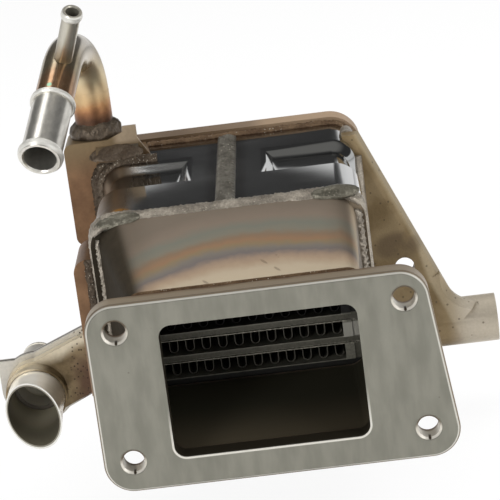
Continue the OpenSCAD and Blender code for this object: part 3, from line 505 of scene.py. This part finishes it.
def turned_finish():
    """Turned steel of the hose end, the vent nipple with its olive foot, and the clamp ring."""
    f = Finish("satin_hose_end")
    cloud = f.noise(6, 2.0)
    fine = f.noise(2.0, 3.0, (1, 0.1, 1))
    colour = f.mix(linear(198, 195, 187), linear(216, 213, 205), fine.rise(0.3, 0.7))
    along, away = f.axis(NIPPLE_FOOT, NIPPLE_WAY)
    nipple = away.fall(6, 7) * along.rise(2, 4)
    colour = f.mix(colour, linear(180, 175, 161), nipple * 0.8)
    foot = nipple * (along + cloud * 8).fall(14, 26)
    colour = f.mix(colour, f.mix(linear(112, 90, 60), linear(156, 132, 92), cloud), foot * 0.8)
    nipple_ring = nipple * away.rise(NIPPLE_RING - 0.15, NIPPLE_RING + 0.1)
    along, away = f.axis(HOSE_FOOT, HOSE_WAY)
    ring = nipple_ring.most((1 - nipple) * away.rise(HOSE_RING - 0.1, HOSE_RING + 0.2))
    colour = f.mix(colour, linear(216, 214, 207), ring)
    return f.done(colour, cloud * 0.03 + 0.29 + ring * 0.1, 0.9 - ring * 0.35 - nipple * 0.1)


def stub_finish():
    """Satin stub with a brown stain, a bright cut mouth and a dull bore darkened deeper in as painted shade.
    """
    f = Finish("satin_stub")
    cloud = f.noise(8, 3.0)
    fine = f.noise(3.0, 2.0)
    colour = f.mix(linear(228, 222, 208), linear(244, 239, 228), cloud)
    stain_and_shadow = f.x.rise(-101, -93) * f.z.fall(-14, -6) * f.z.rise(-30, -22)
    colour = f.mix(colour, f.mix(linear(140, 122, 94), linear(176, 160, 132), fine), stain_and_shadow * 0.7)

    # Bore, whose flare is taken off the distance from the axis, darker deeper in as painted shade
    along, away = f.axis(STUB_FOOT, STUB_WAY)
    start, slope = STUB_FLARE
    level = away - (along - start).most(0.0) * slope
    bore = level.fall(STUB_BORE + 0.05, STUB_BORE + 0.25)
    colour = f.mix(colour, f.mix(linear(150, 143, 123), linear(88, 83, 69), along.rise(6, 22)), bore)

    # Cut mouth, the faces that look out along the axis
    normal = f.add("ShaderNodeNewGeometry", None, None, "Normal")
    facing = f.add("ShaderNodeVectorMath", {"operation": "DOT_PRODUCT"}, {0: normal, 1: STUB_WAY}, "Value")
    mouth = facing.rise(0.5, 0.7) * along.rise(12, 14)
    rim = level.rise(STUB_BORE + 0.4, STUB_BORE + 0.7)
    colour = f.mix(colour, f.mix(linear(128, 123, 110), linear(226, 224, 217), rim), mouth)
    return f.done(colour, bore * 0.14 + 0.26, 0.5 - bore * 0.35)


def arm_finish():
    """Pressed arm, pale with a painted highlight on its crown and olive below, grey behind its seam, with
    painted shadow and dark specks near the body, and a pale back wall as painted light through the bore.
    """
    f = Finish("pressed_arm")
    cloud = f.noise(7, 3.0)
    fine = f.noise(1.2, 3.0)
    front = STUB_FOOT[1]
    olive = f.mix(linear(92, 76, 52), linear(138, 120, 90), cloud.rise(0.3, 0.7))
    # Painted highlight on the crown, olive below it
    below = (f.x - ARM_CROWN[0]) * ARM_SLOPE + ARM_CROWN[1] - f.z
    colour = f.mix(linear(204, 192, 168), olive, (below + (cloud - 0.5) * 5).rise(1.5, 7.5))
    colour = f.mix(colour, linear(188, 185, 178), f.y.rise(front - 0.2, front + 0.2) * 0.85)
    # Back wall seen through the bore, painted pale as the light that comes in through it
    back = f.y.rise(ARM_BACK[0] - 0.3, ARM_BACK[0] + 0.3) * f.y.fall(ARM_BACK[1] - 0.1, ARM_BACK[1] + 0.2)
    colour = f.mix(colour, linear(232, 226, 208), back)
    seam = abs(f.y - front - 2).fall(0.4, 0.8)
    colour = f.mix(colour, linear(70, 62, 50), seam * 0.9)
    # Painted shadow near the body
    stain_and_shadow = f.x.rise(-87, -79) * f.z.fall(-13, 4) * cloud.rise(0.25, 0.5)
    colour = f.mix(colour, linear(76, 50, 38), stain_and_shadow * 0.85)
    specks = f.cells(1.6).fall(0.16, 0.32) * (f.x + cloud * 8 - f.z * 0.2).rise(-82, -76)
    colour = f.mix(colour, linear(52, 38, 28), specks)
    return f.done(f.shaded(colour, fine * 0.3 + 0.85), fine * 0.16 + 0.3, 0.65 - back * 0.65, fine, 0.03)


def bracket_finish():
    """Stained casting with a painted highlight along its slanted edge, a dark patch, a pale boss and dark
    specks.
    """
    f = Finish("stained_bracket")
    cloud = f.noise(14, 4.0)
    fine = f.noise(1.0, 3.0)
    specks = f.cells(4.0).rise(0.08, 0.17)
    colour = f.mix(linear(106, 88, 58), linear(128, 110, 80), cloud.rise(0.35, 0.65))
    out = (f.x - BRACKET_EDGE[0]) * BRACKET_OUT[0] + (f.z - BRACKET_EDGE[1]) * BRACKET_OUT[1]
    # Painted highlight along the slanted edge, wider towards the boss
    edge_highlight = (out + f.z.fall(-20, 10) * 4).rise(-3.2, -0.8)
    colour = f.mix(colour, linear(160, 146, 120), edge_highlight * 0.7)
    patch = squared((f.x - DARK_PATCH[0]) / PATCH_HALF[0], (f.z - DARK_PATCH[1]) / PATCH_HALF[1])
    colour = f.mix(colour, linear(78, 62, 42), patch.fall(0.3, 1.2) * cloud.rise(0.4, 0.6) * 0.7)
    boss = f.x.rise(80, 92) * f.z.fall(-26, -16)
    colour = f.mix(colour, linear(182, 172, 155), boss)
    colour = f.mix(linear(58, 46, 30), colour, specks * 0.6 + 0.4)
    return f.done(f.shaded(colour, fine * 0.3 + 0.85), fine * 0.2 + 0.38, 0.5, fine, 0.1)


def soften(name, limit):
    """Smooth the shading of a faceted node across edges below a limit in degrees, by face area."""
    mesh = nodes[name].data
    count = len(mesh.polygons)
    normal = np.zeros(count * 3)
    area = np.zeros(count)
    mesh.polygons.foreach_get("normal", normal)
    mesh.polygons.foreach_get("area", area)
    normal = normal.reshape(-1, 3)
    corner = np.zeros(len(mesh.loops), int)
    mesh.loops.foreach_get("vertex_index", corner)
    spot = np.zeros(len(mesh.vertices) * 3)
    mesh.vertices.foreach_get("co", spot)
    spot = np.round(spot.reshape(-1, 3) * 1e5).astype(int)
    places = {}
    for face in mesh.polygons:
        for loop in face.loop_indices:
            places.setdefault(tuple(spot[corner[loop]]), []).append((loop, face.index))
    least = math.cos(math.radians(limit))
    made = np.zeros((len(mesh.loops), 3))
    for group in places.values():
        faces = np.array([face for _, face in group])
        near = normal[faces] @ normal[faces].T > least
        mean = (near * area[faces]) @ normal[faces]
        for (loop, _), vector in zip(group, mean):
            made[loop] = vector / max(np.linalg.norm(vector), 1e-12)
    mesh.polygons.foreach_set("use_smooth", [True] * count)
    mesh.normals_split_custom_set([tuple(v) for v in made])


def run_along(points):
    """Distance of each point from the first one, along the points."""
    return np.concatenate([[0], np.cumsum(np.linalg.norm(np.diff(points, axis=0), axis=1))])


def shell_path(y, step, first=0.0, last=1.0):
    """Points round the shell at one station, from its lower left corner up and over, with outward normals."""
    wide, high = (size / 2 - SHELL_ROUND for size in SHELL_SIZE)
    points = []
    outs = []
    for side, top, start in ((-1, -1, 270), (-1, 1, 180), (1, 1, 90), (1, -1, 0)):
        centre = np.array((SHELL_MID[0] + side * wide, y, SHELL_MID[1] + top * high))
        for turn in np.linspace(0, -90, 13):
            angle = math.radians(start + turn)
            out = np.array((math.cos(angle), 0, math.sin(angle)))
            points.append(centre + SHELL_ROUND * out)
            outs.append(out)
    points = np.array(points + points[:1])
    outs = np.array(outs + outs[:1])
    run = run_along(points)
    stops = np.linspace(first, last, int((last - first) * run[-1] / step)) * run[-1]
    spread = np.array([np.interp(stops, run, points[:, i]) for i in range(3)]).T
    lean = np.array([np.interp(stops, run, outs[:, i]) for i in range(3)]).T
    return spread, lean / np.linalg.norm(lean, axis=1)[:, None]


def straight_path(start, end, out, step):
    """Points from a start to an end, with one outward normal."""
    start, end = np.array(start, float), np.array(end, float)
    share = np.linspace(0, 1, int(np.linalg.norm(end - start) / step))[:, None]
    points = start + share * (end - start)
    return points, np.tile(np.array(out, float) / np.linalg.norm(out), (len(points), 1))


def ragged(point, size, seed):
    """Noise from -1 to 1 with a grain of one size in millimetres."""
    return noise.noise(Vector(point) / size + Vector((seed * 7.3, seed * 3.1, seed * 5.7)))


def weld_bead(name, path, before, after, rise, finish, replaced=(), ripple=0.0, pitch=1.6, rough=0.2,
              grain=1.6, seed=1, dip=0.0, closed=False):
    """A weld bead swept along a path. It reaches before and after the path, and dips on the first side."""
    points, outs = path
    count, ribs = len(points), 13
    before, after, rise, rough, dip = (np.broadcast_to(np.asarray(v, float), count)
                                       for v in (before, after, rise, rough, dip))
    if closed:
        tangent = np.roll(points, -1, 0) - np.roll(points, 1, 0)
    else:
        tangent = np.gradient(points, axis=0)
    tangent /= np.linalg.norm(tangent, axis=1)[:, None]
    across = np.cross(outs, tangent)
    along = run_along(points)
    verts = []
    for i in range(count):
        taper = 1.0 if closed else min(1.0, 0.25 + min(i, count - 1 - i) / 4)
        for u in np.linspace(-1, 1, ribs):
            reach = u * (before[i] if u < 0 else after[i])
            crown = max(0.0, 1 - abs(u) ** 2.4) ** 0.75
            phase = along[i] / pitch + 0.55 * u * u
            scale = 1 + ripple * ((1 - phase % 1) ** 1.4 - 0.5)
            place = points[i] + across[i] * reach
            lumps = ragged(place, grain, seed) + 0.6 * ragged(place, grain * 0.4, seed + 2)
            lift = rise[i] * crown * scale * taper + rough[i] * crown * lumps
            lift -= 0.3 * (1 - crown) + max(0.0, -u) ** 1.5 * dip[i]
            side = rough[i] * 0.8 * ragged(place, grain * 1.3, seed + 5) * abs(u)
            verts.append((place + outs[i] * lift + across[i] * side) * MM)
    faces = []
    for i in range(count if closed else count - 1):
        j = (i + 1) % count
        for k in range(ribs):
            m = (k + 1) % ribs
            faces.append((i * ribs + k, i * ribs + m, j * ribs + m, j * ribs + k))
    if not closed:
        faces.append(tuple(range(ribs - 1, -1, -1)))
        faces.append(tuple((count - 1) * ribs + k for k in range(ribs)))
    mesh = bpy.data.meshes.new(name)
    mesh.from_pydata([tuple(v) for v in verts], [], faces)
    mesh.polygons.foreach_set("use_smooth", [True] * len(mesh.polygons))
    mesh.materials.append(finish)
    bead = bpy.data.objects.new(name, mesh)
    bpy.context.scene.collection.objects.link(bead)
    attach(bead, "root")
    if replaced:
        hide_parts(*replaced)


def within(value, low, high, soft):
    """1 between two limits, with soft ends outside them."""
    rise = np.clip((value - low + soft) / soft, 0, 1)
    fall = np.clip((high - value + soft) / soft, 0, 1)
    return rise * rise * (3 - 2 * rise) * fall * fall * (3 - 2 * fall)


def oval_widths(count):
    """Half widths of an oval along its length, as shares of the largest."""
    return np.sqrt(np.maximum(1 - np.linspace(-1, 1, count) ** 2, 0.04))


def front_beads(finish, smooth):
    """The thick weld between diffuser and shell, with a smooth lump at each upper corner."""
    points, outs = shell_path(SHELL_FRONT, 0.6)
    x = points[:, 0]
    roof = np.clip((outs[:, 2] - 0.2) / 0.6, 0, 1)
    lump = within(x, 22, 46, 6) * roof
    blob = within(x, -64, -51, 5) * roof
    middle = roof * (1 - lump) * (1 - blob)
    before = 1.8 + 4.0 * lump + 4.6 * blob + 3.2 * middle
    rise = 1.1 + 1.6 * lump + 1.8 * blob + 1.0 * middle
    dip = np.maximum(before - (SHELL_FRONT - RIM_FRONT), 0) * ROOF[1] * roof + 0.4
    weld_bead("front_bead", (points, outs), before, 1.8 + 2.2 * roof, rise, finish, ["front_weld"],
              ripple=0.14, pitch=2.2, rough=0.2 + 0.5 * middle, grain=1.1, seed=2, dip=dip, closed=True)
    for name, start, end, seed in (("left_blob", (-64.5, 58.4, 55.6), (-45, 58.4, 58), 21),
                                   ("right_lump", (26, 58.4, 57.6), (47, 58.4, 58.2), 23)):
        path = straight_path(start, end, (0, -0.65, 0.76), 0.5)
        width = oval_widths(len(path[0]))
        weld_bead(name, path, 4.0 * width, 4.0 * width, 2.2 * width, smooth, rough=0.3, grain=3.0, seed=seed)


def seam_bead(finish):
    """The scaled weld that closes the shell on top."""
    middle = SHELL_MID[0]
    start = (middle, SHELL_FRONT + 3, SHELL_TOP)
    end = (middle, TANK_FRONT - 1, SHELL_TOP)
    path = straight_path(start, end, (0, 0, 1), 0.28)
    weld_bead("seam_bead", path, SEAM_HALF, SEAM_HALF, 1.35, finish, ["seam_weld"], ripple=0.9,
              pitch=SEAM_PITCH, rough=0.15, grain=1.2, seed=4)


def rear_bead(finish):
    """The weld between shell and outlet tank, clear of the pans on the left."""
    path = shell_path(TANK_FRONT - 0.6, 0.7, 0.27, 0.93)
    weld_bead("rear_bead", path, 2.2, 1.4, 1.8, finish, ["rear_weld"], ripple=0.2, pitch=2.0, rough=0.6,
              grain=1.4, seed=6)


def side_beads(finish):
    """The beads up both sides of the diffuser, before its rim. The left one replaces the pair of solids."""
    half = SHELL_SIZE[0] / 2 - RIM_STEP
    y = RIM_FRONT - 0.1
    for name, x, lean, size, seed, replaced in (
            ("left_side_bead", SHELL_MID[0] - half - 0.2, -0.8, 1.3, 8, ["side_welds"]),
            ("right_side_bead", SHELL_MID[0] + half + 0.4, 0.8, 2.4, 9, [])):
        path = straight_path((x, y, 50), (x, y, -12), (lean, -0.6, 0), 0.5)
        weld_bead(name, path, size, size, size * 0.8, finish, replaced, ripple=0.5, pitch=2.6,
                  rough=size * 0.4, grain=1.3, seed=seed)


def collar_bead(finish):
    """The lumpy collar round the foot of the bent tube."""
    angles = np.linspace(0, 2 * math.pi, 120, endpoint=False)
    ring = np.array([np.cos(angles), np.sin(angles), 0 * angles]).T
    front = np.clip(-ring[:, 1], 0, 1)
    path = (np.array(LEG_FOOT) + (0, 0, 3.4) + ring * 8.6, ring * 0.9 + (0, 0, 0.42))
    weld_bead("collar_bead", path, 4.6, 5.4, 2.6 - 0.7 * front, finish, ["tube_collar"], ripple=0.2,
              pitch=9.0, rough=0.9, grain=4.6, seed=11, closed=True)


def outlet_beads(finish):
    """The welds round the foot and the plate of the outlet pan."""
    foot, outs = shell_path(FOOT_FRONT + 0.4, 0.5, 0.13, 0.29)
    weld_bead("outlet_foot_bead", (foot + outs * 1.2, outs * 0.6 + (0, -0.8, 0)), 2.2, 2.6, 1.1, finish,
              ripple=0.3, pitch=1.8, rough=0.6, grain=1.1, seed=13)
    foot, outs = shell_path(PLATE_FRONT - 0.6, 0.5, 0.132, 0.25)
    weld_bead("outlet_plate_bead", (foot + outs * 3.4, outs * 0.7 + (0, -0.71, 0)), 4.2, 3.6, 1.6, finish,
              ripple=0.3, pitch=2.0, rough=0.7, grain=1.2, seed=17)


def tab_bead(finish):
    """The flat lump of weld under the tab of the outlet pan."""
    path = straight_path((-71.5, 151.8, 61.4), (-47, 151.8, 61.4), (0, -0.68, 0.73), 0.5)
    width = oval_widths(len(path[0]))
    weld_bead("tab_bead", path, 4.6 * width, 5.6 * width, 1.2 * width, finish, rough=1.0, grain=4.4, seed=19)


def inlet_pan_bead(finish):
    """The upright weld along the front of the inlet pan."""
    path = straight_path((-70.2, 67.3, 39), (-70.2, 67.3, -20), (-0.2, -0.98, 0), 0.6)
    weld_bead("inlet_pan_bead", path, 2.2, 2.2, 1.0, finish, ripple=0.2, pitch=2.4, rough=0.7, grain=1.3,
              seed=15)


def weld_beads():
    """All welds, each in its own finish."""
    grey = weld_finish("grey_weld", linear(112, 105, 95), linear(180, 171, 157), 0.34)
    scaled = weld_finish("seam_weld", linear(78, 74, 66), linear(130, 126, 117), 0.34, 0.7, SEAM_PITCH)
    brown = weld_finish("brown_weld", linear(82, 62, 46), linear(130, 108, 84))
    dark = weld_finish("collar_weld", linear(68, 59, 50), linear(106, 94, 80), 0.3, 0.1)
    smutted = weld_finish("smutted_weld", linear(62, 51, 41), linear(104, 92, 78), 0.4, 0.9)
    smooth = weld_finish("olive_weld", linear(84, 81, 70), linear(128, 124, 111), 0.26, 0.6)
    flat = weld_finish("tab_weld", linear(84, 72, 61), linear(114, 101, 86), 0.4, 0.1)
    front_beads(grey, smooth)
    seam_bead(scaled)
    rear_bead(brown)
    side_beads(grey)
    collar_bead(dark)
    outlet_beads(smutted)
    tab_bead(flat)
    inlet_pan_bead(smutted)
    dress(brown, "flange_weld")
    dress(grey, "bracket_weld")


def photo_camera(scene):
    data = bpy.data.cameras.new("photo_camera")
    data.lens = CAMERA_LENS
    data.sensor_width = 36
    camera = bpy.data.objects.new("photo_camera", data)
    camera.location = Vector(CAMERA_PLACE) * MM
    camera.rotation_euler = [math.radians(turn) for turn in CAMERA_TURN]
    scene.collection.objects.link(camera)
    scene.camera = camera


def softboxes(scene):
    """Square lamps, each with a place, a size and a power. The polished metal doesn't mirror the top one."""
    for name, place, size, power in (("softbox_top", (0.0, 0.35, 1.0), 0.9, 9.0),
                                     ("softbox_left", (-0.72, -0.95, 0.42), 0.45, 5.0),
                                     ("softbox_high", (-0.33, 0.36, 1.0), 0.3, 1.0),
                                     ("softbox_right", (0.9, -0.6, 0.6), 0.6, 5.0)):
        data = bpy.data.lights.new(name, "AREA")
        data.size = size
        data.energy = power
        lamp = bpy.data.objects.new(name, data)
        lamp.location = place
        lamp.visible_glossy = name != "softbox_top"
        lamp.rotation_euler = (Vector((0, 0.1, 0)) - Vector(place)).to_track_quat("-Z", "Y").to_euler()
        scene.collection.objects.link(lamp)


def white_room(scene):
    """White for the camera and even grey light. Metal mirrors a room: white low down, dark, grey overhead."""
    world = bpy.data.worlds.new("studio")
    world.use_nodes = True
    scene.world = world
    sky = Tree(world.node_tree)
    way = sky.add("ShaderNodeTexCoord", None, None, "Generated")
    height = sky.add("ShaderNodeSeparateXYZ", None, {0: way}, "Z")
    seen, glossy, through = sky.outputs("ShaderNodeLightPath",
                                        ("Is Camera Ray", "Is Glossy Ray", "Is Transmission Ray"))
    room = sky.mix((1.0, 1.0, 1.0), (0.055, 0.055, 0.055), height.rise(0.18, 0.24))
    room = sky.mix(room, (0.26, 0.255, 0.245), height.rise(0.6, 0.95))
    shown = sky.mix((0.6, 0.6, 0.6), room, (glossy + through).clamped())
    shown = sky.mix(shown, (1.0, 1.0, 1.0), seen)
    back = sky.add("ShaderNodeBackground", None, {"Color": shown, "Strength": 1.0})
    sky.add("ShaderNodeOutputWorld", None, {"Surface": back})


def pale_floor(scene):
    """A wide floor below the part that is nearly white for the camera and keeps the shadow."""
    low = cad_box[0].z - STAGE_DROP * MM
    half = STAGE_HALF * MM
    corners = [(-half, -half, low), (half, -half, low), (half, half, low), (-half, half, low)]
    mesh = bpy.data.meshes.new("floor")
    mesh.from_pydata(corners, [], [(0, 1, 2, 3)])
    floor = bpy.data.objects.new("floor", mesh)
    scene.collection.objects.link(floor)
    paint = bpy.data.materials.new("pale_floor")
    paint.use_nodes = True
    tree = Tree(paint.node_tree)
    seen = tree.add("ShaderNodeLightPath", None, None, "Is Camera Ray")
    matt = tree.add("ShaderNodeBsdfDiffuse", None, {"Color": (0.9, 0.9, 0.9)})
    glow = tree.add("ShaderNodeEmission", None, {"Color": (1.0, 1.0, 1.0), "Strength": 1.0})
    mixed = tree.add("ShaderNodeMixShader", None, {0: seen * 0.9, 1: matt, 2: glow})
    tree.add("ShaderNodeOutputMaterial", None, {"Surface": mixed})
    mesh.materials.append(paint)


def studio():
    scene = bpy.context.scene
    photo_camera(scene)
    softboxes(scene)
    white_room(scene)
    pale_floor(scene)
    scene.view_settings.view_transform = "Standard"


studio()
gas_tubes = [f"gas_tube_{i}" for i in range(1, 8)]
gas_fins = [f"gas_fin_{i}" for i in range(1, 8)]
dress(flange_finish(), "inlet_flange")
dress(duct_finish(), "inlet_diffuser", "outlet_tank")
dress(shell_finish(), "shell")
dress(core_finish("sooted_shaded_header", linear(74, 72, 62), linear(104, 101, 90)), "front_header", "rear_header")
dress(core_finish("brazed_tube", linear(90, 88, 78), linear(146, 143, 130)), *gas_tubes)
dress(core_finish("sooted_shaded_fin", linear(64, 62, 54), linear(96, 93, 83)), *gas_fins)
dress(pan_finish(), "outlet_pan", "inlet_pan")
dress(tube_finish(), "outlet_tube")
dress(turned_finish(), "hose_end", "vent_nipple", "outlet_ring")
dress(stub_finish(), "inlet_stub")
dress(arm_finish(), "inlet_arm_front", "inlet_arm_rear")
dress(bracket_finish(), "mounting_bracket")
weld_beads()
for name, limit in (("inlet_flange", 25), ("inlet_diffuser", 50), ("outlet_tank", 25), ("shell", 34),
                    ("mounting_bracket", 32)):
    soften(name, limit)

bpy.context.view_layer.update()
